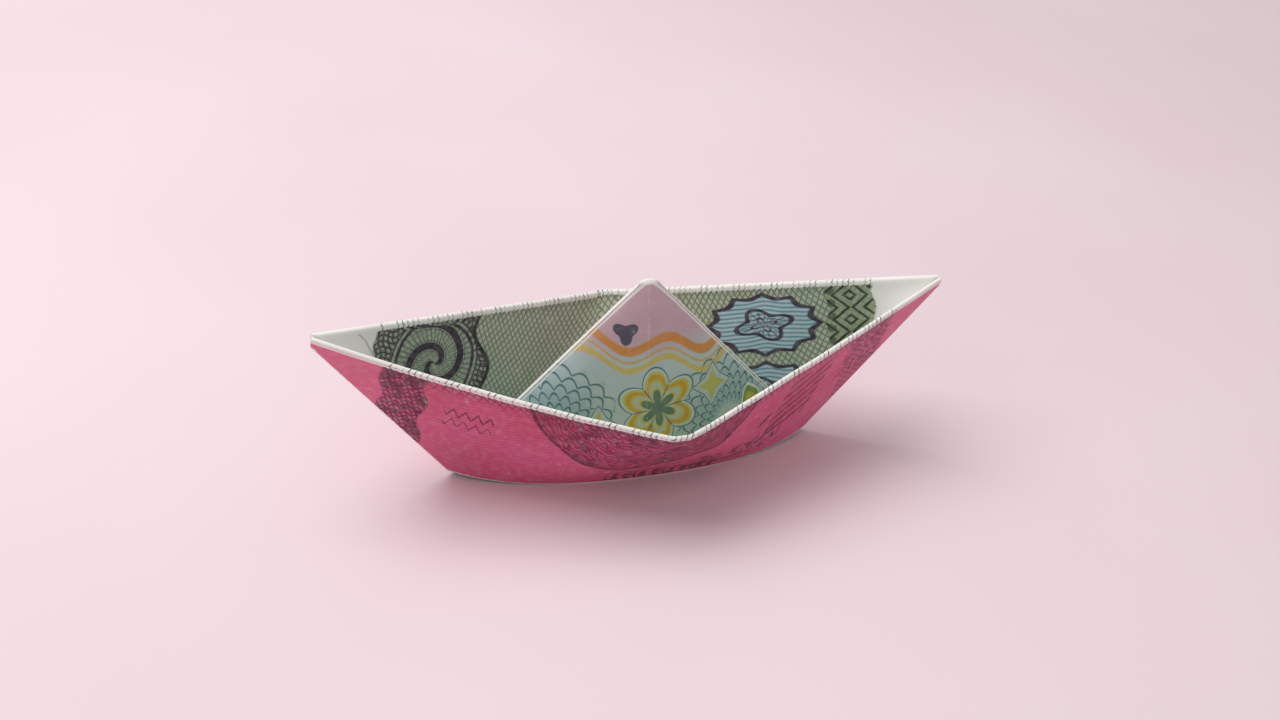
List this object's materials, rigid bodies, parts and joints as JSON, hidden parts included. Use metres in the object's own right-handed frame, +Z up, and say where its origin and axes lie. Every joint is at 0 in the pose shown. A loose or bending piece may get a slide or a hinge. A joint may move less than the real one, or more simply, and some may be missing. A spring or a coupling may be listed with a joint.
{
  "type": "folded paper boat",
  "caption": "Small boat folded from one oblong sheet of printed paper, with a raised pointed sail in the middle, pointed ends and a hollow foot.",
  "frame": {"origin": "middle of the underside, on the surface that the boat stands on", "axes": "+X along the boat from tip to tip, +Y across the beam to the far wall, +Z up through the sail's apex"},
  "size_m": [0.0592, 0.0244, 0.0191],
  "materials": {
    "printed_paper": "matt printed paper"
  },
  "bodies": {
    "root": {"paper_boat": "printed_paper"}
  },
  "joints": []
}
